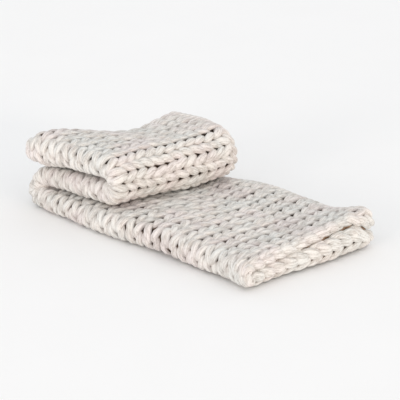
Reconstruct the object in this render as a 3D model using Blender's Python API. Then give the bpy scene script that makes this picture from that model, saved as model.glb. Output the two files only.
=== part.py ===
"""Chunky knit blanket, folded and lying on a flat surface.

One sheet of stocking stitch in thick cotton tube yarn. It is first folded in half along its length,
knit side out, which makes a doubled strip with its fold at -Y and its two open edges at +Y. The strip is
then folded back and forth: a bottom layer that runs the whole length, a U-turn at the -X end, a short
middle layer, a U-turn above the strip and a short top layer. The strip's free end, at +X, shows both of
its curled side edges.

A point of the cloth has two coordinates: its wale (the column of stitches, counted from the free end)
and its distance along the wale from the lengthwise fold, negative in the lower sheet and positive in the
upper one.
Metres, +Z up, origin under the middle of the bounding box.
"""

import math

import bpy
import numpy as np

MM = 0.001

# Knitting: the size of one stitch and the count of them.
WALE = 46.5 * MM
COURSE = 37.5 * MM
WALES = 33
COURSES = 24
HALF_LENGTH = COURSES * COURSE / 2

# The cloth is measured from the middle surface on which its yarn lies.
KNIT_SIDE = 16.5 * MM
PURL_SIDE = 13.5 * MM
RIB_DEPTH = 4.2 * MM
EDGE_SHARE = 0.62
EDGE_BULGE = 6.0 * MM
FLOOR_SNAP = 0.3 * MM

# Where the cloth is squeezed: what is left of its knit side inside the first U-turn and of its purl side
# inside the lengthwise fold at that turn and at both ends, each with the wales or courses over which the squeeze comes on.
TURN_SQUEEZE, TURN_BEFORE, TURN_EASE = 0.4, 0.8, 0.6
FOLD_END_SQUEEZE, FOLD_END_EASE, FOLD_END_COURSES = 0.4, 0.5, 2.0

# Where the underside's ribs are pressed flat by the floor: from this many courses behind the lengthwise
# fold, and up to this wale, each with its ease.
PRESSED_FROM, PRESSED_EASE = 0.6, 0.5
PRESSED_LAST, PRESSED_END_EASE = 16.2, 0.4

# Shares of the doubled strip, in wales from the free end: three layers with a U-turn between each two.
# Outside the curl limits the side edges roll.
BOTTOM_END = 16.0
MIDDLE_START, MIDDLE_END = 19.0, 23.6
TOP_START = 27.2
CURL_START, CURL_END = 1.0, WALES - 1.0

# Places across the strip. Between the two fan lines the wales swing from their front to their back position.
FRONT_Y, CENTRE_Y, BACK_Y = -315 * MM, -105 * MM, 75 * MM
FAN_FRONT_Y, FAN_BACK_Y = -282 * MM, -45 * MM
FAN_SHARE = 0.8

# Side edges of stocking stitch roll towards the purl side.
CURL_RADIUS = 18.9 * MM
CURL_ANGLE = 1.35
CURL_GAP, GAP_GROWTH = 9.0 * MM, 4.0 * MM
LONGEST_CURL = 1.3 * WALE
FREE_END_MEET, MEET_RISE, CORNER_FALL = 0.2, 0.35, 0.75
RISE_END, CORNER_START = 340 * MM, 365 * MM
HIDDEN_END_MEET = 0.1
FOLD_END_SHARE = 0.75

# The top layer's thick front roll: the wale from which it fades over less of the strip's width, and the
# share of the width lost by the last wale.
ROLL_START, ROLL_NARROWING = 29.4, 0.36

# How much further the first U-turn, at the -X end, bulges below its middle than above it.
TURN_LEAN = 0.1

# The middle of the bounding box in the frame of the tables below.
MIDDLE_X, MIDDLE_Y = 124.10 * MM, -151.25 * MM

# One row for each place along a layer, in millimetres: the wale, its x at the front and the back of the
# strip, the height of the strip's underside at the front, centre and back, half the distance between its
# two sheets at the front and the back, and the y of the lengthwise fold and of the open edges.
COLUMNS = (
    "wale", "x_front", "x_back",
    "lift_front", "lift_centre", "lift_back",
    "puff_front", "puff_back", "fold_y", "open_y",
)
LIFTS = ("lift_front", "lift_centre", "lift_back")
BOTTOM_LAYER = (
    (1.0, 525, 558, 0, 0, 0, 28.5, 43, -366, 99),
    (3.0, 432, 468, 0, 0, 0, 25.5, 31, -359, 78),
    (5.0, 333, 375, 0, 0, 0, 25.5, 28, -362, 84),
    (6.0, 282, 327, 0, 0, 0, 25.5, 26.5, -366, 88),
    (7.0, 213, 282, 0, 0, 0, 25.5, 26.5, -366, 90),
    (8.0, 150, 237, 0, 0, 0, 25.5, 27, -370, 90),
    (10.0, 30, 147, 0, 0, 0, 21.0, 23.5, -382, 90),
    (12.0, -84, 57, 0, 0, 0, 19.0, 18.0, -384, 78),
    (14.0, -192, -33, 0, 0, 0, 17.4, 16.0, -386, 66),
    (16.0, -291, -125, 0, 0, 0, 15.2, 16.5, -380, 66),
)
MIDDLE_LAYER = (
    (19.0, -274, -126, 64, 66, 70, 15.0, 16.5, -357, 66),
    (21.0, -177, -60, 71, 71, 71, 16.5, 17.0, -354, 66),
    (23.6, -30, 16, 77, 70, 68, 19.5, 20.0, -354, 66),
)
TOP_LAYER = (
    (27.2, -30, 10, 156, 151, 158, 21.0, 21.0, -357, 63),
    (29.4, -150, -55, 149, 144, 162, 24.5, 20.0, -375, 69),
    (32.0, -282, -168, 128, 133, 161, 38.0, 17.0, -391, 66),
)

# The mesh's steps: two for each wale where the strip is flat and four where it turns or curls.
FLAT_STEP, TURN_STEP = 0.5, 0.25
FLAT_ROWS, FOLD_ROWS = 8, 8
TINY = 1e-9

# The spans over which slopes are measured: along Y, in wales, and in wales and courses for a normal.
SLOPE_STEP, TANGENT_STEP, NORMAL_STEP = 1 * MM, 1e-3, 0.12


def column(layer, name):
    scale = 1.0 if name == "wale" else MM
    return np.array([row[COLUMNS.index(name)] for row in layer]) * scale


def smooth_step(t):
    t = np.clip(t, 0.0, 1.0)
    return t * t * (3 - 2 * t)


def along(layer, name, wale):
    """A column of a layer's table at any wale, on a smooth curve through its rows."""
    knots, values = column(layer, "wale"), column(layer, name)
    slopes = np.gradient(values, knots)
    i = np.clip(np.searchsorted(knots, wale) - 1, 0, len(knots) - 2)
    span = knots[i + 1] - knots[i]
    t = np.clip((wale - knots[i]) / span, 0.0, 1.0)
    rise = smooth_step(t)
    bend = t * (1 - t) ** 2 * slopes[i] + t * t * (t - 1) * slopes[i + 1]
    return values[i] * (1 - rise) + values[i + 1] * rise + span * bend


def whole(name, wale):
    """A column that runs on smoothly along the whole strip, U-turns included."""
    return along(BOTTOM_LAYER + MIDDLE_LAYER + TOP_LAYER, name, wale)


def through_three(front, centre, back, y):
    """The parabola through the values at the front, the centre and the back of the strip."""
    a, b, c = FRONT_Y, CENTRE_Y, BACK_Y
    share_front = (y - b) * (y - c) / ((a - b) * (a - c))
    share_centre = (y - a) * (y - c) / ((b - a) * (b - c))
    share_back = (y - a) * (y - b) / ((c - a) * (c - b))
    return front * share_front + centre * share_centre + back * share_back


def puff(wale, y):
    """Half the distance between the two sheets of the strip."""
    front, back = whole("puff_front", wale), whole("puff_back", wale)
    fold, opening = whole("fold_y", wale), whole("open_y", wale)
    span = 1 - ROLL_NARROWING * smooth_step((wale - ROLL_START) / (CURL_END - ROLL_START))
    return front + (back - front) * smooth_step((y - fold - front) / (span * (opening - fold - front)))


def layer_point(layer, wale, y):
    """(x, z) of the strip's centreline in one layer."""
    swing = smooth_step((y - FAN_FRONT_Y) / (FAN_BACK_Y - FAN_FRONT_Y))
    slant = (y - FRONT_Y) / (BACK_Y - FRONT_Y)
    share = FAN_SHARE * swing + (1 - FAN_SHARE) * slant
    front, back = along(layer, "x_front", wale), along(layer, "x_back", wale)
    lift = through_three(*(along(layer, name, wale) for name in LIFTS), y)
    return front + (back - front) * share, lift + KNIT_SIDE + puff(wale, y)


def slant_stretch(layer, wale, y):
    """How much wider a U-turn or a rolled edge is along X than square to itself, where wales slant."""
    x_ahead, x_behind = (layer_point(layer, wale, y + step)[0] for step in (SLOPE_STEP, -SLOPE_STEP))
    slope = (x_ahead - x_behind) / (2 * SLOPE_STEP)
    return np.sqrt(1 + slope**2)


def turn_point(below, above, start, end, side, wale, y):
    """(x, z, stretch) of the centreline in a U-turn between two layers, which bulges towards side."""
    first, last = np.full_like(wale, start), np.full_like(wale, end)
    x_start, z_start = layer_point(below, first, y)
    x_end, z_end = layer_point(above, last, y)
    angle = math.pi * (wale - start) / (end - start)
    radius, turned = (z_end - z_start) / 2, (1 - np.cos(angle)) / 2
    stretch = slant_stretch(below, first, y) * (1 - turned) + slant_stretch(above, last, y) * turned
    bulge = np.sin(angle) * (1 + (TURN_LEAN * np.cos(angle) if side < 0 else 0.0))
    x = x_start + (x_end - x_start) * turned + side * radius * bulge * stretch
    return x, (z_start + z_end) / 2 - radius * np.cos(angle), stretch


def centreline(wale, y):
    """(x, z, stretch) of the middle of the doubled strip, for wales between the two curled ends."""

    def flat(layer):
        return lambda w, v: (*layer_point(layer, w, v), slant_stretch(layer, w, v))

    parts = (
        (wale <= BOTTOM_END, flat(BOTTOM_LAYER)),
        (
            (wale > BOTTOM_END) & (wale < MIDDLE_START),
            lambda w, v: turn_point(BOTTOM_LAYER, MIDDLE_LAYER, BOTTOM_END, MIDDLE_START, -1, w, v),
        ),
        ((wale >= MIDDLE_START) & (wale <= MIDDLE_END), flat(MIDDLE_LAYER)),
        (
            (wale > MIDDLE_END) & (wale < TOP_START),
            lambda w, v: turn_point(MIDDLE_LAYER, TOP_LAYER, MIDDLE_END, TOP_START, 1, w, v),
        ),
        (wale >= TOP_START, flat(TOP_LAYER)),
    )
    found = np.zeros((3, *wale.shape))
    for chosen, place in parts:
        found[:, chosen] = place(wale[chosen], y[chosen])
    return found


def middle_surface(wale, reach):
    """The points on which the yarn lies. reach is the distance along the wale from the fold."""
    wale, reach = np.broadcast_arrays(np.asarray(wale, float), np.asarray(reach, float))
    side, distance = np.sign(reach), np.abs(reach)
    radius, fold, opening = whole("puff_front", wale), whole("fold_y", wale), whole("open_y", wale)
    bend = radius * math.pi / 2
    angle = np.clip(distance / radius, 0.0, math.pi / 2)
    flat = np.clip(distance - bend, 0.0, None) * (opening - fold - radius) / (HALF_LENGTH - bend)
    y = fold + radius * (1 - np.cos(angle)) + flat

    inner = np.clip(wale, CURL_START, CURL_END)
    x, z, stretch = centreline(inner, y)
    x_ahead, z_ahead, _ = centreline(np.clip(inner + TANGENT_STEP, CURL_START, CURL_END), y)
    x_behind, z_behind, _ = centreline(np.clip(inner - TANGENT_STEP, CURL_START, CURL_END), y)
    tangent = np.stack([(x_ahead - x_behind) / stretch, z_ahead - z_behind])
    tangent /= np.linalg.norm(tangent, axis=0)
    up = np.stack([tangent[1], -tangent[0]])

    # The last wale at either end rolls inwards, less and less towards the lengthwise fold.
    half = puff(wale, y)
    sheet = np.sin(angle)
    past = np.clip(CURL_START - wale, 0.0, None) + np.clip(wale - CURL_END, 0.0, None)
    outward = np.where(wale < CURL_START, -1.0, 1.0)
    risen = smooth_step(distance / RISE_END)
    corner = smooth_step((distance - CORNER_START) / (HALF_LENGTH - CORNER_START))
    free_meet = FREE_END_MEET + MEET_RISE * risen - CORNER_FALL * corner
    meet = np.where(wale < CURL_START, free_meet, HIDDEN_END_MEET)
    drop = half * (1 - side * meet) - CURL_GAP - GAP_GROWTH * risen
    most = np.arccos(np.clip(1 - drop / CURL_RADIUS, math.cos(CURL_ANGLE), 1.0))
    straight = np.clip(drop - CURL_RADIUS * (1 - np.cos(most)), 0.0, None)
    length = past * np.minimum(CURL_RADIUS * most + straight, LONGEST_CURL)
    rolled = np.minimum(length / CURL_RADIUS, most)
    rest = length - rolled * CURL_RADIUS
    share = sheet**3
    roll_out = CURL_RADIUS * np.sin(rolled) + rest * np.cos(rolled)
    roll_down = CURL_RADIUS * (1 - np.cos(rolled)) + rest * np.sin(rolled)
    out = share * roll_out + (1 - share) * length * FOLD_END_SHARE
    down = share * roll_down
    offset = side * sheet * (half - down)
    x = x + (up[0] * offset + outward * tangent[0] * out) * stretch
    z = z + up[1] * offset + outward * tangent[1] * out
    return np.stack([x - MIDDLE_X, y - MIDDLE_Y, z], axis=-1)


def knit_normal(wale, reach):
    """Unit vectors that point away from the cloth's knit side."""
    step = NORMAL_STEP * COURSE
    along_wale = middle_surface(wale, reach + step) - middle_surface(wale, reach - step)
    across = middle_surface(wale + NORMAL_STEP, reach) - middle_surface(wale - NORMAL_STEP, reach)
    normal = np.cross(along_wale, across)
    return normal / np.linalg.norm(normal, axis=-1, keepdims=True)


def wale_steps():
    """The mesh's wales: finer where the strip turns or curls."""
    fine = ((0.0, CURL_START), (BOTTOM_END, MIDDLE_START), (MIDDLE_END, TOP_START), (CURL_END, WALES))
    steps, wale = [], 0.0
    while wale < WALES + TINY:
        steps.append(wale)
        turning = any(start - TINY <= wale < end - TINY for start, end in fine)
        wale += TURN_STEP if turning else FLAT_STEP
    return np.array(steps)


def reach_steps(wale):
    """The mesh's distances from the fold at one wale: even over each flat sheet and over the fold."""
    bend = float(whole("puff_front", wale)) * math.pi / 2
    lower = np.linspace(-HALF_LENGTH, -bend, FLAT_ROWS + 1)
    fold = np.linspace(-bend, bend, FOLD_ROWS + 1)
    return np.concatenate([lower, fold[1:], -lower[::-1][1:]])


def pressed(wale, reach):
    """1 on the underside that rests on the floor, where the ribs are pressed flat, and 0 elsewhere."""
    under = smooth_step((-reach / COURSE - PRESSED_FROM) / PRESSED_EASE)
    return under * smooth_step((PRESSED_LAST - wale) / PRESSED_END_EASE)


def first_turn(wale):
    """1 in the first U-turn and 0 well away from it."""
    before = smooth_step((wale - BOTTOM_END + TURN_BEFORE) / TURN_EASE)
    return before * smooth_step((MIDDLE_START + TURN_BEFORE - wale) / TURN_EASE)


def knit_share(wale, reach):
    """The knit side's thickness is squeezed on the inside of the first U-turn, where it meets itself."""
    return 1 - (1 - TURN_SQUEEZE) * first_turn(wale) * smooth_step((reach / COURSE + 0.2) / 0.6)


def purl_share(wale, reach):
    """The purl side's thickness is squeezed inside the lengthwise fold, at the first U-turn and both ends."""
    past = np.clip(CURL_START - wale, 0.0, 1.0) + np.clip(wale - CURL_END, 0.0, 1.0)
    tight = np.maximum(smooth_step(past / FOLD_END_EASE), first_turn(wale))
    near = smooth_step(FOLD_END_COURSES - np.abs(reach) / COURSE)
    return 1 - (1 - FOLD_END_SQUEEZE) * tight * near


def blanket_mesh():
    """The cloth as one closed skin: ribs on the knit side, a plain purl side and a rounded rim."""
    wales = wale_steps()
    reach = np.array([reach_steps(w) for w in wales])
    wale = np.broadcast_to(wales[:, None], reach.shape)
    middle, normal = middle_surface(wale, reach), knit_normal(wale, reach)

    rows, columns = reach.shape
    at_rim = np.zeros(reach.shape, bool)
    at_rim[[0, -1], :] = at_rim[:, [0, -1]] = True
    share = np.where(at_rim, EDGE_SHARE, 1.0)[..., None]
    valley = (1 + np.cos(2 * math.pi * wale)) / 2 * (1 - pressed(wale, reach))
    thickness = KNIT_SIDE * knit_share(wale, reach) - RIB_DEPTH * valley
    knit = middle + normal * share * thickness[..., None]
    knit[..., 2] = np.where(knit[..., 2] < FLOOR_SNAP, 0.0, knit[..., 2])
    purl = middle - normal * share * PURL_SIDE * purl_share(wale, reach)[..., None]

    # The rim's middle line stands a little proud of the edge, away from the cloth.
    border = (
        [(0, j) for j in range(columns - 1)]
        + [(i, columns - 1) for i in range(rows - 1)]
        + [(rows - 1, j) for j in range(columns - 1, 0, -1)]
        + [(i, 0) for i in range(rows - 1, 0, -1)]
    )
    rim = []
    for i, j in border:
        inside = middle[min(max(i, 1), rows - 2), min(max(j, 1), columns - 2)]
        away = middle[i, j] - inside
        away -= normal[i, j] * away.dot(normal[i, j])
        point = middle[i, j] + away / np.linalg.norm(away) * EDGE_BULGE
        rim.append((point[0], point[1], max(point[2], 0.0)))

    points = np.concatenate([knit.reshape(-1, 3), purl.reshape(-1, 3), np.array(rim)])

    def knit_at(i, j):
        return i * columns + j

    def purl_at(i, j):
        return rows * columns + i * columns + j

    faces = []
    for i in range(rows - 1):
        for j in range(columns - 1):
            quad = [(i, j), (i + 1, j), (i + 1, j + 1), (i, j + 1)]
            for corners in ((0, 3, 2), (0, 2, 1)):
                faces.append([knit_at(*quad[k]) for k in corners])
                faces.append([purl_at(*quad[k]) for k in reversed(corners)])
    first_rim = 2 * rows * columns
    for k, here in enumerate(border):
        after = border[(k + 1) % len(border)]
        rim_here, rim_after = first_rim + k, first_rim + (k + 1) % len(border)
        faces.append([knit_at(*here), rim_after, knit_at(*after)])
        faces.append([knit_at(*here), rim_here, rim_after])
        faces.append([rim_here, purl_at(*after), rim_after])
        faces.append([rim_here, purl_at(*here), purl_at(*after)])

    mesh = bpy.data.meshes.new("knit_blanket")
    mesh.from_pydata([tuple(p) for p in points], [], faces)
    mesh.update()
    mesh.shade_smooth()
    return mesh


def cotton():
    material = bpy.data.materials.new("cotton_yarn")
    material.use_nodes = True
    shader = material.node_tree.nodes["Principled BSDF"]
    shader.inputs["Base Color"].default_value = (0.76, 0.70, 0.65, 1.0)
    shader.inputs["Roughness"].default_value = 0.92
    shader.inputs["Metallic"].default_value = 0.0
    return material


def clear_scene():
    for thing in list(bpy.data.objects):
        bpy.data.objects.remove(thing, do_unlink=True)


def main():
    clear_scene()
    blanket = bpy.data.objects.new("knit_blanket", blanket_mesh())
    blanket.data.materials.append(cotton())
    bpy.context.scene.collection.objects.link(blanket)


main()
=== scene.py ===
"""Looks of the folded chunky knit blanket.

The blanket is drawn as the yarn it is knitted from: one thick strand of cotton tube yarn that runs to and
fro through 24 courses of stocking stitch, with a twisted edge along the cast-on and the bind-off and a
chained one down each side. A thin dark sheet of painted shade lies between the two faces of the cloth,
where one looks into the stitches, and a short brown sheet of painted shade just inside the strip's free
end. The yarn itself has painted shade deep in its stitches and in its creases.

The yarn follows the same folds as the solid. A point of the cloth has three coordinates: its wale (the
column of stitches, counted from the strip's free end), its reach along the wale from the lengthwise fold,
and its height above the cloth's middle surface, towards the knit side. Metres, +Z up.
"""

import math

import bpy
import numpy as np
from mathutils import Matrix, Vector


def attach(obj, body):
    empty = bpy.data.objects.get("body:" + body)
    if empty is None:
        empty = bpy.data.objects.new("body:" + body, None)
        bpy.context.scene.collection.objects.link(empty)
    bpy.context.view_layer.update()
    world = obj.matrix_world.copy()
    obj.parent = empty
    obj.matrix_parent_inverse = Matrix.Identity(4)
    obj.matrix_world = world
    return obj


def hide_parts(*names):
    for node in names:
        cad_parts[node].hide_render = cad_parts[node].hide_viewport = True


MM = 0.001
TAU = 2 * math.pi

# Knitting.
WALE = 46.5 * MM
COURSE = 37.5 * MM
WALES = 33
COURSES = 24
HALF_LENGTH = COURSES * COURSE / 2

# Shares of the doubled strip, in wales from the free end: three layers with a U-turn between each two.
BOTTOM_END = 16.0
MIDDLE_START, MIDDLE_END = 19.0, 23.6
TOP_START = 27.2
CURL_START, CURL_END = 1.0, WALES - 1.0

# Places across the strip, in the frame of the tables below.
FRONT_Y, CENTRE_Y, BACK_Y = -315 * MM, -105 * MM, 75 * MM
FAN_FRONT_Y, FAN_BACK_Y = -282 * MM, -45 * MM
FAN_SHARE = 0.8

# The thick front roll of the top layer fades over less of the strip's width from this wale on. The first
# U-turn bulges further below its middle than above it, by this share.
ROLL_START, ROLL_NARROWING = 29.4, 0.36
TURN_LEAN = 0.1
MIDDLE_X, MIDDLE_Y = 124.10 * MM, -151.25 * MM

# The rolled side edges.
KNIT_SIDE = 16.5 * MM
CURL_RADIUS = 18.9 * MM
CURL_ANGLE = 1.35
CURL_GAP, GAP_GROWTH = 9.0 * MM, 4.0 * MM
LONGEST_CURL = 1.3 * WALE
FREE_END_MEET, MEET_RISE, CORNER_FALL = 0.2, 0.35, 0.75
RISE_END, CORNER_START = 340 * MM, 365 * MM
HIDDEN_END_MEET = 0.1
FOLD_END_SHARE = 0.75

# One row for each place along a layer, in millimetres, as in the solid's own tables.
COLUMNS = (
    "wale", "x_front", "x_back",
    "lift_front", "lift_centre", "lift_back",
    "puff_front", "puff_back", "fold_y", "open_y",
)
LIFTS = ("lift_front", "lift_centre", "lift_back")
BOTTOM_LAYER = (
    (1.0, 525, 558, 0, 0, 0, 28.5, 43, -366, 99),
    (3.0, 432, 468, 0, 0, 0, 25.5, 31, -359, 78),
    (5.0, 333, 375, 0, 0, 0, 25.5, 28, -362, 84),
    (6.0, 282, 327, 0, 0, 0, 25.5, 26.5, -366, 88),
    (7.0, 213, 282, 0, 0, 0, 25.5, 26.5, -366, 90),
    (8.0, 150, 237, 0, 0, 0, 25.5, 27, -370, 90),
    (10.0, 30, 147, 0, 0, 0, 21.0, 23.5, -382, 90),
    (12.0, -84, 57, 0, 0, 0, 19.0, 18.0, -384, 78),
    (14.0, -192, -33, 0, 0, 0, 17.4, 16.0, -386, 66),
    (16.0, -291, -125, 0, 0, 0, 15.2, 16.5, -380, 66),
)
MIDDLE_LAYER = (
    (19.0, -274, -126, 64, 66, 70, 15.0, 16.5, -357, 66),
    (21.0, -177, -60, 71, 71, 71, 16.5, 17.0, -354, 66),
    (23.6, -30, 16, 77, 70, 68, 19.5, 20.0, -354, 66),
)
TOP_LAYER = (
    (27.2, -30, 10, 156, 151, 158, 21.0, 21.0, -357, 63),
    (29.4, -150, -55, 149, 144, 162, 24.5, 20.0, -375, 69),
    (32.0, -282, -168, 128, 133, 161, 38.0, 17.0, -391, 66),
)
SLOPE_STEP, TANGENT_STEP, NORMAL_STEP = 1 * MM, 1e-3, 0.12

# The strand. Its stitches are loops that stand LOOP_HALF above and below their course's line, swing by
# LOOP_SWING of a wale to either side and come LOOP_DEPTH nearer to the knit side at their legs. Where the
# cloth lies flat they are tight: they swing less, and their legs are drawn together by LOOP_PULL of a wale.
# They are looser within TIGHT_BEYOND of the lengthwise fold and where the cloth is stretched, and by
# LOOSENING in the U-turn between the middle and the top layer.
ROW_STEP = 36.4 * MM
LOOP_HALF = 33.5 * MM
LOOP_SWING, TIGHT_SWING, LOOP_PULL = 0.235, 0.205, 0.045
TIGHT_BEYOND, LOOSE_STRETCH = 80 * MM, 0.6
LOOSE_TURN_START, LOOSE_TURN_END, LOOSENING = 22.4, 28.4, 0.6
SWING_IN_STRETCH = -0.03
LOOP_SKEW = 0.05
LOOP_DEPTH = 7.5 * MM
YARN_WIDE = 10.8 * MM
YARN_HIGH = 8.8 * MM
YARN_SQUARE = 0.85
WIDTH_IN_STRETCH = 0.42
LEG_PLUMP = 0.08
LEAST_STRETCH, MOST_STRETCH = -0.2, 0.7

# Near the cloth's own edges the yarn lies open to the light: there this much is added to the height that sets
# the yarn's painted shade, so that less shade is painted there.
BARE_SIDES, BARE_ENDS, BARE_HEIGHT = 9 * MM, 24 * MM, 14 * MM

# How uneven the stitches are: as shares of their swing, their half height and the yarn's thickness, in wales
# sideways, and in metres along the wale and out of the cloth.
UNEVEN_SWING, UNEVEN_LOOP, UNEVEN_PLUMP = 0.12, 0.04, 0.07
UNEVEN_WALE, UNEVEN_REACH, UNEVEN_HEIGHT = 0.028, 2.0 * MM, 1.2 * MM

# Slow waves over the cloth, sideways in wales and as lumps in metres. Each has its size, its length along the
# wale, its slant and its phase. Over the outermost wales they fade.
DRIFTS = ((0.035, 0.31, 0.13, 0), (0.025, 0.17, -0.21, 1))
LUMPS = ((1.2 * MM, 0.23, -0.17, 0), (0.8 * MM, 0.13, 0.29, 0))
STEADY_WALES = 2

CREASES_ROUND, CREASE_LENGTH = 1.5, 45 * MM
STITCH_STEPS = 24
YARN_SIDES = 12
ROWS_IN_PIECE = 8
TURN_STEPS = 10
TURN_REACH, SIDE_INSET = 0.05, 0.05
SEED = 7

# The twisted edges of the cast-on and the bind-off, and the chained side edges: how far in they lie or end,
# how far their two strands stand from their common line across and out of the cloth, and their yarn's half
# width and half height.
TWIST_INSET, TWIST_ACROSS, TWIST_OUT = 7 * MM, 8.5 * MM, 6.0 * MM
TWIST_WIDE, TWIST_HIGH, TWIST_UNEVEN = 9.5 * MM, 9.0 * MM, 0.03
TWIST_STEPS = 16
CHAIN_INSET, CHAIN_ACROSS, CHAIN_OUT = 9 * MM, 6.5 * MM, 7.0 * MM
CHAIN_WIDE, CHAIN_HIGH, CHAIN_UNEVEN = 9.0 * MM, 8.0 * MM, 0.04
CHAIN_STEPS = 12

# The upper sheet's wales lean away from the free end towards the back, by this many wales at most.
LEAN, LEAN_FROM = 0.7, 200 * MM
LEAN_IN, LEAN_OUT = (0.5, 4.0), (13.0, 21.0)

# The web, a dark sheet of painted shade: how far in from the cloth's edges it ends, in wales and in metres,
# and how low it may lie.
WEB_INSET_WALES, WEB_INSET, WEB_LOWEST = 0.02, 12 * MM, 1 * MM
WEB_STEPS = 4

# The sheet of painted shade inside the free end: how far inside the edge it lies, and where along the edge it
# starts and ends.
LINING_WALE, LINING_FRONT, LINING_INSET = 0.3, 60 * MM, 16 * MM
LINING_STEPS, LINING_POINTS_ACROSS = 2, 5

# The height over the middle surface, in millimetres, at which the yarn's painted shade ends.
PAINTED_SHADE_END_HEIGHT = 14.0

# The floor: half its size, and how far below the blanket it lies.
FLOOR_HALF, FLOOR_BELOW = 12.0, 0.5 * MM

# Camera: the photograph's angle, from the right and above, about five and a half metres away.
AZIMUTH, ELEVATION = 45.0, 22.5
CAMERA_DISTANCE = 5.55
LENS, SENSOR = 166.5, 36.0


# ---------------------------------------------------------------- the folds, as in the solid


def column(layer, name):
    scale = 1.0 if name == "wale" else MM
    return np.array([row[COLUMNS.index(name)] for row in layer]) * scale


def smooth_step(t):
    t = np.clip(t, 0.0, 1.0)
    return t * t * (3 - 2 * t)


def along(layer, name, wale):
    """A column of a layer's table at any wale, on a smooth curve through its rows."""
    knots, values = column(layer, "wale"), column(layer, name)
    slopes = np.gradient(values, knots)
    i = np.clip(np.searchsorted(knots, wale) - 1, 0, len(knots) - 2)
    span = knots[i + 1] - knots[i]
    t = np.clip((wale - knots[i]) / span, 0.0, 1.0)
    rise = smooth_step(t)
    bend = t * (1 - t) ** 2 * slopes[i] + t * t * (t - 1) * slopes[i + 1]
    return values[i] * (1 - rise) + values[i + 1] * rise + span * bend


def whole(name, wale):
    """A column that runs on smoothly along the whole strip, U-turns included."""
    return along(BOTTOM_LAYER + MIDDLE_LAYER + TOP_LAYER, name, wale)


def through_three(front, centre, back, y):
    """The parabola through the values at the front, the centre and the back of the strip."""
    a, b, c = FRONT_Y, CENTRE_Y, BACK_Y
    share_front = (y - b) * (y - c) / ((a - b) * (a - c))
    share_centre = (y - a) * (y - c) / ((b - a) * (b - c))
    share_back = (y - a) * (y - b) / ((c - a) * (c - b))
    return front * share_front + centre * share_centre + back * share_back


def puff(wale, y):
    """Half the distance between the two sheets of the strip."""
    front, back = whole("puff_front", wale), whole("puff_back", wale)
    fold, opening = whole("fold_y", wale), whole("open_y", wale)
    span = 1 - ROLL_NARROWING * smooth_step((wale - ROLL_START) / (CURL_END - ROLL_START))
    return front + (back - front) * smooth_step((y - fold - front) / (span * (opening - fold - front)))


def layer_point(layer, wale, y):
    """(x, z) of the strip's centreline in one layer."""
    swing = smooth_step((y - FAN_FRONT_Y) / (FAN_BACK_Y - FAN_FRONT_Y))
    slant = (y - FRONT_Y) / (BACK_Y - FRONT_Y)
    share = FAN_SHARE * swing + (1 - FAN_SHARE) * slant
    front, back = along(layer, "x_front", wale), along(layer, "x_back", wale)
    lift = through_three(*(along(layer, name, wale) for name in LIFTS), y)
    return front + (back - front) * share, lift + KNIT_SIDE + puff(wale, y)


def slant_stretch(layer, wale, y):
    """How much wider a U-turn or a rolled edge is along X than square to itself, where wales slant."""
    x_ahead, x_behind = (layer_point(layer, wale, y + step)[0] for step in (SLOPE_STEP, -SLOPE_STEP))
    slope = (x_ahead - x_behind) / (2 * SLOPE_STEP)
    return np.sqrt(1 + slope**2)


def turn_point(below, above, start, end, side, wale, y):
    """(x, z, stretch) of the centreline in a U-turn between two layers, which bulges towards side."""
    first, last = np.full_like(wale, start), np.full_like(wale, end)
    x_start, z_start = layer_point(below, first, y)
    x_end, z_end = layer_point(above, last, y)
    angle = math.pi * (wale - start) / (end - start)
    radius, turned = (z_end - z_start) / 2, (1 - np.cos(angle)) / 2
    stretch = slant_stretch(below, first, y) * (1 - turned) + slant_stretch(above, last, y) * turned
    bulge = np.sin(angle) * (1 + (TURN_LEAN * np.cos(angle) if side < 0 else 0.0))
    x = x_start + (x_end - x_start) * turned + side * radius * bulge * stretch
    return x, (z_start + z_end) / 2 - radius * np.cos(angle), stretch


def centreline(wale, y):
    """(x, z, stretch) of the middle of the doubled strip, for wales between the two curled ends."""

    def flat(layer):
        return lambda w, v: (*layer_point(layer, w, v), slant_stretch(layer, w, v))

    parts = (
        (wale <= BOTTOM_END, flat(BOTTOM_LAYER)),
        (
            (wale > BOTTOM_END) & (wale < MIDDLE_START),
            lambda w, v: turn_point(BOTTOM_LAYER, MIDDLE_LAYER, BOTTOM_END, MIDDLE_START, -1, w, v),
        ),
        ((wale >= MIDDLE_START) & (wale <= MIDDLE_END), flat(MIDDLE_LAYER)),
        (
            (wale > MIDDLE_END) & (wale < TOP_START),
            lambda w, v: turn_point(MIDDLE_LAYER, TOP_LAYER, MIDDLE_END, TOP_START, 1, w, v),
        ),
        (wale >= TOP_START, flat(TOP_LAYER)),
    )
    found = np.zeros((3, *wale.shape))
    for chosen, place in parts:
        found[:, chosen] = place(wale[chosen], y[chosen])
    return found


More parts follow.
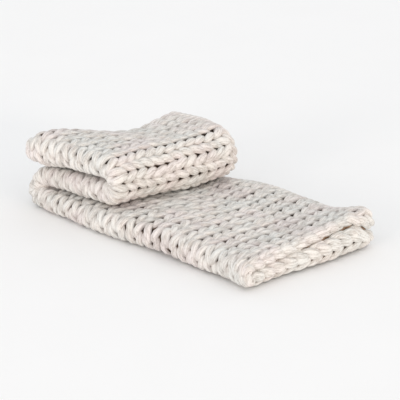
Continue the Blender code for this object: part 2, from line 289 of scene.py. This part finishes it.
def middle_surface(wale, reach):
    """The points on which the yarn lies. reach is the distance along the wale from the fold."""
    wale, reach = np.broadcast_arrays(np.asarray(wale, float), np.asarray(reach, float))
    side, distance = np.sign(reach), np.abs(reach)
    radius, fold, opening = whole("puff_front", wale), whole("fold_y", wale), whole("open_y", wale)
    bend = radius * math.pi / 2
    angle = np.clip(distance / radius, 0.0, math.pi / 2)
    flat = np.clip(distance - bend, 0.0, None) * (opening - fold - radius) / (HALF_LENGTH - bend)
    y = fold + radius * (1 - np.cos(angle)) + flat

    inner = np.clip(wale, CURL_START, CURL_END)
    x, z, stretch = centreline(inner, y)
    x_ahead, z_ahead, _ = centreline(np.clip(inner + TANGENT_STEP, CURL_START, CURL_END), y)
    x_behind, z_behind, _ = centreline(np.clip(inner - TANGENT_STEP, CURL_START, CURL_END), y)
    tangent = np.stack([(x_ahead - x_behind) / stretch, z_ahead - z_behind])
    tangent /= np.linalg.norm(tangent, axis=0)
    up = np.stack([tangent[1], -tangent[0]])

    # The last wale at either end rolls inwards, less and less towards the lengthwise fold.
    half = puff(wale, y)
    sheet = np.sin(angle)
    past = np.clip(CURL_START - wale, 0.0, None) + np.clip(wale - CURL_END, 0.0, None)
    outward = np.where(wale < CURL_START, -1.0, 1.0)
    risen = smooth_step(distance / RISE_END)
    corner = smooth_step((distance - CORNER_START) / (HALF_LENGTH - CORNER_START))
    free_meet = FREE_END_MEET + MEET_RISE * risen - CORNER_FALL * corner
    meet = np.where(wale < CURL_START, free_meet, HIDDEN_END_MEET)
    drop = half * (1 - side * meet) - CURL_GAP - GAP_GROWTH * risen
    most = np.arccos(np.clip(1 - drop / CURL_RADIUS, math.cos(CURL_ANGLE), 1.0))
    straight = np.clip(drop - CURL_RADIUS * (1 - np.cos(most)), 0.0, None)
    length = past * np.minimum(CURL_RADIUS * most + straight, LONGEST_CURL)
    rolled = np.minimum(length / CURL_RADIUS, most)
    rest = length - rolled * CURL_RADIUS
    share = sheet**3
    roll_out = CURL_RADIUS * np.sin(rolled) + rest * np.cos(rolled)
    roll_down = CURL_RADIUS * (1 - np.cos(rolled)) + rest * np.sin(rolled)
    out = share * roll_out + (1 - share) * length * FOLD_END_SHARE
    down = share * roll_down
    offset = side * sheet * (half - down)
    x = x + (up[0] * offset + outward * tangent[0] * out) * stretch
    z = z + up[1] * offset + outward * tangent[1] * out
    return np.stack([x - MIDDLE_X, y - MIDDLE_Y, z], axis=-1)


def knit_normal(wale, reach):
    """Unit vectors that point out of the cloth on its knit side."""
    step = NORMAL_STEP * COURSE
    along_wale = middle_surface(wale, reach + step) - middle_surface(wale, reach - step)
    across = middle_surface(wale + NORMAL_STEP, reach) - middle_surface(wale - NORMAL_STEP, reach)
    normal = np.cross(along_wale, across)
    return normal / np.linalg.norm(normal, axis=-1, keepdims=True)


# ---------------------------------------------------------------- the yarn


def uneven(draws, count, places):
    """A smooth random curve with a value of its own at each of count places, read at the given places."""
    values = draws.normal(size=count + 2)
    i = np.clip(np.floor(places).astype(int), 0, count)
    return values[i] + (values[i + 1] - values[i]) * smooth_step(places - i)


def spread(wale, reach):
    """How much wider the wales are there than in flat cloth, as a share of their width."""
    across = middle_surface(wale + NORMAL_STEP, reach) - middle_surface(wale - NORMAL_STEP, reach)
    return np.linalg.norm(across, axis=-1) / (2 * NORMAL_STEP * WALE) - 1


def waves(rows, wale, reach):
    """The sum of slow waves over the cloth."""
    return sum(
        size * np.sin(TAU * (reach / long + slant * wale) + phase)
        for size, long, slant, phase in rows
    )


def drift(wale, reach):
    """How far the wales wander sideways, in wales, and the cloth's slow lumps, in metres."""
    begun, ended = (smooth_step((wale - start) / (end - start)) for start, end in (LEAN_IN, LEAN_OUT))
    back = smooth_step((reach - LEAN_FROM) / (HALF_LENGTH - LEAN_FROM))
    sideways = waves(DRIFTS, wale, reach) + LEAN * begun * (1 - ended) * back
    return sideways, waves(LUMPS, wale, reach)


def course_path(row, draws):
    """One course from wale 0 to the last: wale, reach and height, and the yarn's plumpness and width."""
    t = np.arange(WALES * STITCH_STEPS + 1) * TAU / STITCH_STEPS
    stitch = t / TAU

    def wobble(size):
        return size * uneven(draws, 2 * WALES, 2 * stitch)

    centre = (row - (COURSES - 1) / 2) * ROW_STEP
    stretch = np.clip(spread(stitch, centre), LEAST_STRETCH, MOST_STRETCH)
    turn = smooth_step(stitch - LOOSE_TURN_START) * smooth_step(LOOSE_TURN_END - stitch)
    tight = smooth_step(abs(centre) / TIGHT_BEYOND) * np.clip(1 - stretch / LOOSE_STRETCH, 0.0, 1.0)
    tight = tight * (1 - LOOSENING * turn)
    swing = LOOP_SWING + (TIGHT_SWING - LOOP_SWING) * tight + SWING_IN_STRETCH * stretch
    swing = swing * (1 + wobble(UNEVEN_SWING))
    tall = LOOP_HALF * (1 + wobble(UNEVEN_LOOP))
    rise = -tall * np.cos(t)
    wale = stitch + swing * np.sin(2 * t) + LOOP_PULL * tight * np.sin(t) + LOOP_SKEW * rise / WALE
    wale = wale + wobble(UNEVEN_WALE)
    reach = centre + rise + wobble(UNEVEN_REACH)
    height = -LOOP_DEPTH * np.cos(2 * t) + wobble(UNEVEN_HEIGHT)
    plump = 1 - LEG_PLUMP * np.cos(2 * t) + wobble(UNEVEN_PLUMP)
    sideways, lumps = drift(wale, reach)
    inside = smooth_step(np.minimum(stitch, WALES - stitch) / STEADY_WALES)
    wale = wale + inside * sideways
    height = height + inside * lumps
    width = plump * (1 + WIDTH_IN_STRETCH * stretch)
    return np.stack([wale, reach, height, plump, width])


def turn_path(course, following, at_end):
    """The strand's way from the end of one course to the start of the next, round the side edge."""
    s = (np.arange(TURN_STEPS) + 1) / (TURN_STEPS + 1)
    first, last = course[:, -1], following[:, 0]
    path = first[:, None] + (last - first)[:, None] * s
    path[0] += (1 if at_end else -1) * TURN_REACH * np.sin(math.pi * s)
    return path


def tube(path, wide, high):
    """A tube round a path in cloth coordinates: a ring for each point, its line, and each vertex's height,
    which sets its painted shade.
    """
    wale, reach, height, plump, width = path
    normal = knit_normal(wale, reach)
    points = middle_surface(wale, reach) + normal * height[:, None]
    forward = np.gradient(points, axis=0)
    forward /= np.linalg.norm(forward, axis=1, keepdims=True)
    across = np.cross(forward, normal)
    across /= np.linalg.norm(across, axis=1, keepdims=True)
    above = np.cross(across, forward)
    angle = np.arange(YARN_SIDES) * TAU / YARN_SIDES
    sideways, upwards = np.cos(angle), np.sin(angle)
    sideways = np.sign(sideways) * np.abs(sideways) ** YARN_SQUARE
    upwards = np.sign(upwards) * np.abs(upwards) ** YARN_SQUARE
    rings = (
        points[:, None]
        + across[:, None] * (sideways[None, :] * wide * width[:, None])[..., None]
        + above[:, None] * (upwards[None, :] * high * plump[:, None])[..., None]
    )
    rings[..., 2] = np.maximum(rings[..., 2], 0.0)
    from_side = np.minimum(wale, WALES - wale) * WALE
    from_end = HALF_LENGTH - np.abs(reach)
    bare = np.maximum(smooth_step(1 - from_side / BARE_SIDES), smooth_step(1 - from_end / BARE_ENDS))
    # The height that sets the painted shade: how far a point of the yarn lies from the middle surface, lifted
    # near the edges.
    painted_shade_heights = np.abs(height + high * plump * upwards[:, None]) + BARE_HEIGHT * bare
    return rings, points, painted_shade_heights.T


def tube_mesh(name, strands, wide=YARN_WIDE, high=YARN_HIGH):
    """One mesh of one or more tubes with closed ends, with its length and girth as UV coordinates."""
    sides = YARN_SIDES
    points, faces, uvs, painted_shade_heights = [], [], [], []
    for path in strands:
        rings, line, above = tube(path, wide, high)
        count = len(rings)
        first = sum(len(p) for p in points)
        points.append(rings.reshape(-1, 3))
        painted_shade_heights.append(above.ravel())
        ring = first + np.arange(count - 1)[:, None] * sides
        here = np.arange(sides)[None, :]
        after = (here + 1) % sides
        quads = np.stack([ring + here, ring + after, ring + sides + after, ring + sides + here], -1)
        faces.extend(quads.reshape(-1, 4).tolist())
        length = np.concatenate([[0], np.cumsum(np.linalg.norm(np.diff(line, axis=0), axis=1))])
        shape = (count - 1, sides)
        u0 = np.broadcast_to(length[:-1, None], shape)
        u1 = np.broadcast_to(length[1:, None], shape)
        v0 = np.broadcast_to(here / sides, shape)
        v1 = np.broadcast_to((here + 1) / sides, shape)
        uvs.append(np.stack([u0, v0, u0, v1, u1, v1, u1, v0], -1).reshape(-1, 2))
        faces.append((first + np.arange(sides))[::-1].tolist())
        faces.append((first + (count - 1) * sides + np.arange(sides)).tolist())
        uvs.append(np.zeros((2 * sides, 2)))
    mesh = bpy.data.meshes.new(name)
    mesh.from_pydata(np.concatenate(points).tolist(), [], faces)
    layer = mesh.uv_layers.new(name="along_yarn")
    layer.data.foreach_set("uv", np.concatenate(uvs).ravel())
    # The height attribute sets the yarn's painted shade in its material.
    height = mesh.attributes.new("height", "FLOAT", "POINT")
    height.data.foreach_set("value", np.concatenate(painted_shade_heights) / MM)
    mesh.shade_smooth()
    piece = bpy.data.objects.new(name, mesh)
    bpy.context.scene.collection.objects.link(piece)
    return piece


def knitted_strand():
    """The strand in pieces of a few courses, each starting where the one before ends."""
    draws = np.random.default_rng(SEED)
    courses = []
    for row in range(COURSES):
        path = course_path(row, draws)
        courses.append(path if row % 2 == 0 else path[:, ::-1])
    pieces = []
    for start in range(0, COURSES, ROWS_IN_PIECE):
        runs = []
        for row in range(start, start + ROWS_IN_PIECE):
            runs.append(courses[row])
            if row + 1 < COURSES:
                runs.append(turn_path(courses[row], courses[row + 1], row % 2 == 0))
        if start + ROWS_IN_PIECE < COURSES:
            runs.append(courses[start + ROWS_IN_PIECE][:, :2])
        name = f"knitted_yarn_{start // ROWS_IN_PIECE + 1}"
        pieces.append(tube_mesh(name, [np.concatenate(runs, axis=1)]))
    return pieces


def edge_twist(name, reach):
    """The edge of the cast-on or the bind-off: two strands that twist once round each other to a wale."""
    draws = np.random.default_rng(SEED + int(reach > 0))
    wale = np.linspace(0.0, WALES, WALES * TWIST_STEPS + 1)
    strands = []
    for phase in (0.0, math.pi):
        angle = TAU * wale + phase
        strands.append(np.stack([
            wale,
            reach + TWIST_ACROSS * np.cos(angle),
            TWIST_OUT * np.sin(angle),
            1 + TWIST_UNEVEN * uneven(draws, WALES, wale),
            1 + TWIST_UNEVEN * uneven(draws, WALES, wale),
        ]))
    return tube_mesh(name, strands, wide=TWIST_WIDE, high=TWIST_HIGH)


def side_chain(name, wale):
    """The chained side edge: two strands that wind once round each other to every two courses."""
    draws = np.random.default_rng(SEED + 2 + int(wale > 0))
    reach = np.linspace(-1, 1, COURSES * CHAIN_STEPS + 1) * (HALF_LENGTH - CHAIN_INSET)
    links = reach / (2 * ROW_STEP)
    inner = np.clip(wale, SIDE_INSET, WALES - SIDE_INSET)
    strands = []
    for phase in (0.0, math.pi):
        angle = TAU * links + phase
        strands.append(np.stack([
            inner + CHAIN_ACROSS / WALE * np.cos(angle),
            reach,
            CHAIN_OUT * np.sin(angle),
            1 + CHAIN_UNEVEN * uneven(draws, COURSES, links + COURSES / 2),
            1 + CHAIN_UNEVEN * uneven(draws, COURSES, links + COURSES / 2),
        ]))
    return tube_mesh(name, strands, wide=CHAIN_WIDE, high=CHAIN_HIGH)


def grid_mesh(name, points):
    """A sheet through a grid of points."""
    rows, columns = points.shape[:2]
    here = (np.arange(rows - 1)[:, None] * columns + np.arange(columns - 1)).ravel()
    faces = np.stack([here, here + 1, here + columns + 1, here + columns], -1)
    mesh = bpy.data.meshes.new(name)
    mesh.from_pydata(points.reshape(-1, 3).tolist(), [], faces.tolist())
    mesh.shade_smooth()
    piece = bpy.data.objects.new(name, mesh)
    bpy.context.scene.collection.objects.link(piece)
    return piece


def web():
    """The thin sheet of painted shade between the two faces of the cloth, nearly as large as the cloth
    itself.
    """
    wales = np.linspace(WEB_INSET_WALES, WALES - WEB_INSET_WALES, WALES * WEB_STEPS + 1)
    reaches = np.linspace(-1, 1, COURSES * WEB_STEPS + 1) * (HALF_LENGTH - WEB_INSET)
    points = middle_surface(*np.meshgrid(wales, reaches, indexing="ij"))
    points[..., 2] = np.maximum(points[..., 2], WEB_LOWEST)
    return grid_mesh("painted_shade_web", points)


def mouth_painted_shade():
    """A sheet of painted shade just inside the strip's free end, from the lower rolled edge to the upper one.
    """
    reach = np.linspace(LINING_FRONT, HALF_LENGTH - LINING_INSET, COURSES * LINING_STEPS)
    upper = middle_surface(np.full_like(reach, LINING_WALE), reach)
    lower = middle_surface(np.full_like(reach, LINING_WALE), -reach)
    share = np.linspace(0, 1, LINING_POINTS_ACROSS)[None, :, None]
    return grid_mesh("mouth_painted_shade", lower[:, None] + (upper - lower)[:, None] * share)


# ---------------------------------------------------------------- materials


def new_material(name):
    material = bpy.data.materials.new(name)
    material.use_nodes = True
    return material, material.node_tree.nodes, material.node_tree.links


def node(nodes, kind, **values):
    """A new node with the given inputs (by name, underscores for spaces) or properties set."""
    made = nodes.new(kind)
    for name, value in values.items():
        if hasattr(made, name):
            setattr(made, name, value)
        else:
            made.inputs[name.replace("_", " ")].default_value = value
    return made


def number(nodes, links, operation, first, second):
    """A math node of two numbers, each a socket or a plain value."""
    made = nodes.new("ShaderNodeMath")
    made.operation = operation
    for place, value in enumerate((first, second)):
        if isinstance(value, bpy.types.NodeSocket):
            links.new(value, made.inputs[place])
        else:
            made.inputs[place].default_value = value
    return made.outputs["Value"]


def ramp(nodes, links, value, stops):
    made = nodes.new("ShaderNodeValToRGB")
    ends = made.color_ramp.elements
    ends[0].position, ends[0].color = stops[0]
    ends[1].position, ends[1].color = stops[-1]
    for place, color in stops[1:-1]:
        ends.new(place).color = color
    links.new(value, made.inputs["Fac"])
    return made.outputs["Color"]


def blend(nodes, links, mode, share, first, second):
    """A colour mix of two colour sockets; share is a number or a socket."""
    made = nodes.new("ShaderNodeMix")
    made.data_type, made.blend_type = "RGBA", mode
    if isinstance(share, bpy.types.NodeSocket):
        links.new(share, made.inputs[0])
    else:
        made.inputs[0].default_value = share
    for place, value in ((6, first), (7, second)):
        if isinstance(value, bpy.types.NodeSocket):
            links.new(value, made.inputs[place])
        else:
            made.inputs[place].default_value = value
    return made.outputs[2]


def noise(nodes, links, place, scale, detail):
    made = node(nodes, "ShaderNodeTexNoise", Scale=scale, Detail=detail)
    links.new(place, made.inputs["Vector"])
    return made.outputs["Fac"]


def cotton():
    """Undyed cotton: warm white, with painted shade deep in the stitches, creased along the yarn with painted
    shade in the creases, with short fibres.
    """
    material, nodes, links = new_material("cotton_yarn")
    shader = nodes["Principled BSDF"]
    shader.inputs["Roughness"].default_value = 0.92
    shader.inputs["Specular IOR Level"].default_value = 0.2
    shader.inputs["Sheen Weight"].default_value = 0.12
    shader.inputs["Sheen Roughness"].default_value = 0.6
    place = nodes.new("ShaderNodeTexCoord").outputs["Object"]

    # Painted shade: the lower a point of the yarn lies in the stitches, the darker and browner it is painted.
    height = node(nodes, "ShaderNodeAttribute", attribute_name="height").outputs["Fac"]
    painted_shade_depth = number(nodes, links, "DIVIDE", height, PAINTED_SHADE_END_HEIGHT)
    stitch_painted_shade = ramp(nodes, links, painted_shade_depth, (
        (0.0, (0.05, 0.03, 0.02, 1)),
        (0.36, (0.17, 0.125, 0.095, 1)),
        (0.52, (0.66, 0.63, 0.605, 1)),
        (1.0, (0.785, 0.77, 0.75, 1)),
    ))
    patches = ramp(nodes, links, noise(nodes, links, place, scale=11.0, detail=2.0), (
        (0.36, (0.97, 0.99, 0.985, 1)),
        (0.50, (1.0, 0.985, 0.965, 1)),
        (0.64, (1.0, 0.955, 0.955, 1)),
    ))
    flecks = ramp(nodes, links, noise(nodes, links, place, scale=230.0, detail=3.0), (
        (0.30, (0.86, 0.85, 0.84, 1)),
        (0.62, (1.0, 1.0, 1.0, 1)),
    ))
    tinted = blend(nodes, links, "MULTIPLY", 1.0, stitch_painted_shade, patches)
    color = blend(nodes, links, "MULTIPLY", 1.0, tinted, flecks)

    along = nodes.new("ShaderNodeSeparateXYZ")
    links.new(node(nodes, "ShaderNodeUVMap", uv_map="along_yarn").outputs["UV"], along.inputs["Vector"])
    turned = number(nodes, links, "MULTIPLY", along.outputs["Y"], TAU)
    round_yarn = nodes.new("ShaderNodeCombineXYZ")
    for axis, way in (("X", "COSINE"), ("Y", "SINE")):
        share = number(nodes, links, way, turned, 0.0)
        links.new(number(nodes, links, "MULTIPLY", share, CREASES_ROUND), round_yarn.inputs[axis])
    run = number(nodes, links, "DIVIDE", along.outputs["X"], CREASE_LENGTH)
    links.new(run, round_yarn.inputs["Z"])
    # The creases bump the yarn, and their ramp also paints shade into the crease lines of its colour.
    creases_and_painted_shade = ramp(nodes, links, noise(nodes, links, round_yarn.outputs["Vector"], scale=1.0, detail=2.0), (
        (0.40, (1.0, 1.0, 1.0, 1)),
        (0.47, (0.86, 0.85, 0.84, 1)),
        (0.50, (0.68, 0.65, 0.63, 1)),
        (0.53, (0.86, 0.85, 0.84, 1)),
        (0.60, (1.0, 1.0, 1.0, 1)),
    ))
    with_painted_crease_shade = blend(nodes, links, "MULTIPLY", 1.0, color, creases_and_painted_shade)
    links.new(with_painted_crease_shade, shader.inputs["Base Color"])

    fuzz = noise(nodes, links, place, scale=520.0, detail=3.0)
    folds = node(nodes, "ShaderNodeBump", Strength=0.6, Distance=0.002)
    links.new(creases_and_painted_shade, folds.inputs["Height"])
    bump = node(nodes, "ShaderNodeBump", Strength=0.5, Distance=0.001)
    links.new(fuzz, bump.inputs["Height"])
    links.new(folds.outputs["Normal"], bump.inputs["Normal"])
    links.new(bump.outputs["Normal"], shader.inputs["Normal"])
    return material


def painted_shade_material(name, darker, lighter):
    """Painted shade for the sheets deep inside the cloth: mottled between two browns, with a rough surface.
    """
    material, nodes, links = new_material(name)
    shader = nodes["Principled BSDF"]
    shader.inputs["Roughness"].default_value = 1.0
    shader.inputs["Specular IOR Level"].default_value = 0.1
    place = nodes.new("ShaderNodeTexCoord").outputs["Object"]
    color = ramp(nodes, links, noise(nodes, links, place, scale=60.0, detail=4.0), (
        (0.35, darker),
        (0.65, lighter),
    ))
    links.new(color, shader.inputs["Base Color"])
    bump = node(nodes, "ShaderNodeBump", Strength=0.6, Distance=0.001)
    links.new(noise(nodes, links, place, scale=600.0, detail=3.0), bump.inputs["Height"])
    links.new(bump.outputs["Normal"], shader.inputs["Normal"])
    return material


def floor_paint():
    material, nodes, links = new_material("pale_floor")
    shader = nodes["Principled BSDF"]
    shader.inputs["Roughness"].default_value = 0.85
    shader.inputs["Specular IOR Level"].default_value = 0.2
    place = nodes.new("ShaderNodeTexCoord").outputs["Object"]
    color = ramp(nodes, links, noise(nodes, links, place, scale=3.0, detail=3.0), (
        (0.3, (0.902, 0.902, 0.902, 1)),
        (0.7, (0.912, 0.912, 0.912, 1)),
    ))
    links.new(color, shader.inputs["Base Color"])
    bump = node(nodes, "ShaderNodeBump", Strength=0.1, Distance=0.0005)
    links.new(noise(nodes, links, place, scale=300.0, detail=2.0), bump.inputs["Height"])
    links.new(bump.outputs["Normal"], shader.inputs["Normal"])
    return material


# ---------------------------------------------------------------- studio


def studio():
    mesh = bpy.data.meshes.new("studio_floor")
    half = FLOOR_HALF
    corners = [(-half, -half, 0), (half, -half, 0), (half, half, 0), (-half, half, 0)]
    mesh.from_pydata(corners, [], [(0, 1, 2, 3)])
    floor = bpy.data.objects.new("studio_floor", mesh)
    floor.data.materials.append(floor_paint())
    bpy.context.scene.collection.objects.link(floor)
    floor.location.z = -FLOOR_BELOW

    world = bpy.data.worlds.new("studio_light")
    world.use_nodes = True
    background = world.node_tree.nodes["Background"]
    background.inputs["Color"].default_value = (0.975, 0.988, 1.0, 1.0)
    background.inputs["Strength"].default_value = 0.96
    bpy.context.scene.world = world
    bpy.context.scene.view_settings.view_transform = "Standard"


def direction(azimuth, elevation):
    """The unit vector towards a place at an azimuth and an elevation in degrees, seen from the middle."""
    a, e = math.radians(azimuth), math.radians(elevation)
    return Vector((math.sin(a) * math.cos(e), -math.cos(a) * math.cos(e), math.sin(e)))


def area_light(name, azimuth, elevation, distance, size, power, color):
    light = bpy.data.lights.new(name, "AREA")
    light.shape = "DISK"
    light.size = size
    light.energy = power
    light.color = color
    lamp = bpy.data.objects.new(name, light)
    back = direction(azimuth, elevation)
    lamp.location = back * distance
    lamp.rotation_mode = "QUATERNION"
    lamp.rotation_quaternion = back.to_track_quat("Z", "Y")
    bpy.context.scene.collection.objects.link(lamp)


def camera():
    data = bpy.data.cameras.new("camera")
    data.lens, data.sensor_width = LENS, SENSOR
    data.clip_end = 100
    view = bpy.data.objects.new("camera", data)
    back = direction(AZIMUTH, ELEVATION)
    view.location = Vector((-MIDDLE_X, -MIDDLE_Y, 0.0)) + back * CAMERA_DISTANCE
    view.rotation_mode = "QUATERNION"
    view.rotation_quaternion = back.to_track_quat("Z", "Y")
    bpy.context.scene.collection.objects.link(view)
    bpy.context.scene.camera = view


# ---------------------------------------------------------------- the blanket


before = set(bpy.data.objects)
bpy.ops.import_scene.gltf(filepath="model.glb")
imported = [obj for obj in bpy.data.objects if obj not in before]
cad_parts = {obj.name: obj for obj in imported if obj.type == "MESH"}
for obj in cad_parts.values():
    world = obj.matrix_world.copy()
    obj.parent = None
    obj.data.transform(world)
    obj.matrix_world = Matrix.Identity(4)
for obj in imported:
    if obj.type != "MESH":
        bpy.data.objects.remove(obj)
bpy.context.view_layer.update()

camera()
studio()
area_light("key", azimuth=88, elevation=9, distance=28.0, size=8.0, power=2750, color=(1.0, 0.84, 0.70))
area_light("fill", azimuth=5, elevation=8, distance=28.0, size=12.0, power=2650, color=(1.0, 0.89, 0.83))

yarn = knitted_strand()
yarn.append(edge_twist("cast_on_edge", -(HALF_LENGTH - TWIST_INSET)))
yarn.append(edge_twist("bind_off_edge", HALF_LENGTH - TWIST_INSET))
yarn.append(side_chain("free_end_edge", 0.0))
yarn.append(side_chain("covered_end_edge", WALES))
web_shade_sheet, mouth_shade_sheet = web(), mouth_painted_shade()

cotton_material = cotton()
for piece in yarn:
    piece.data.materials.append(cotton_material)
# Painted shade: the web and the sheet inside the free end are dark browns that stand for the shade inside the
# cloth.
web_shade_material = painted_shade_material("painted_shade_material", darker=(0.05, 0.03, 0.018, 1), lighter=(0.12, 0.07, 0.045, 1))
mouth_shade_material = painted_shade_material("mouth_shade_material", darker=(0.20, 0.125, 0.08, 1), lighter=(0.34, 0.235, 0.165, 1))
web_shade_sheet.data.materials.append(web_shade_material)
mouth_shade_sheet.data.materials.append(mouth_shade_material)

for piece in [*yarn, web_shade_sheet, mouth_shade_sheet]:
    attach(piece, "root")
    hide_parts("knit_blanket")
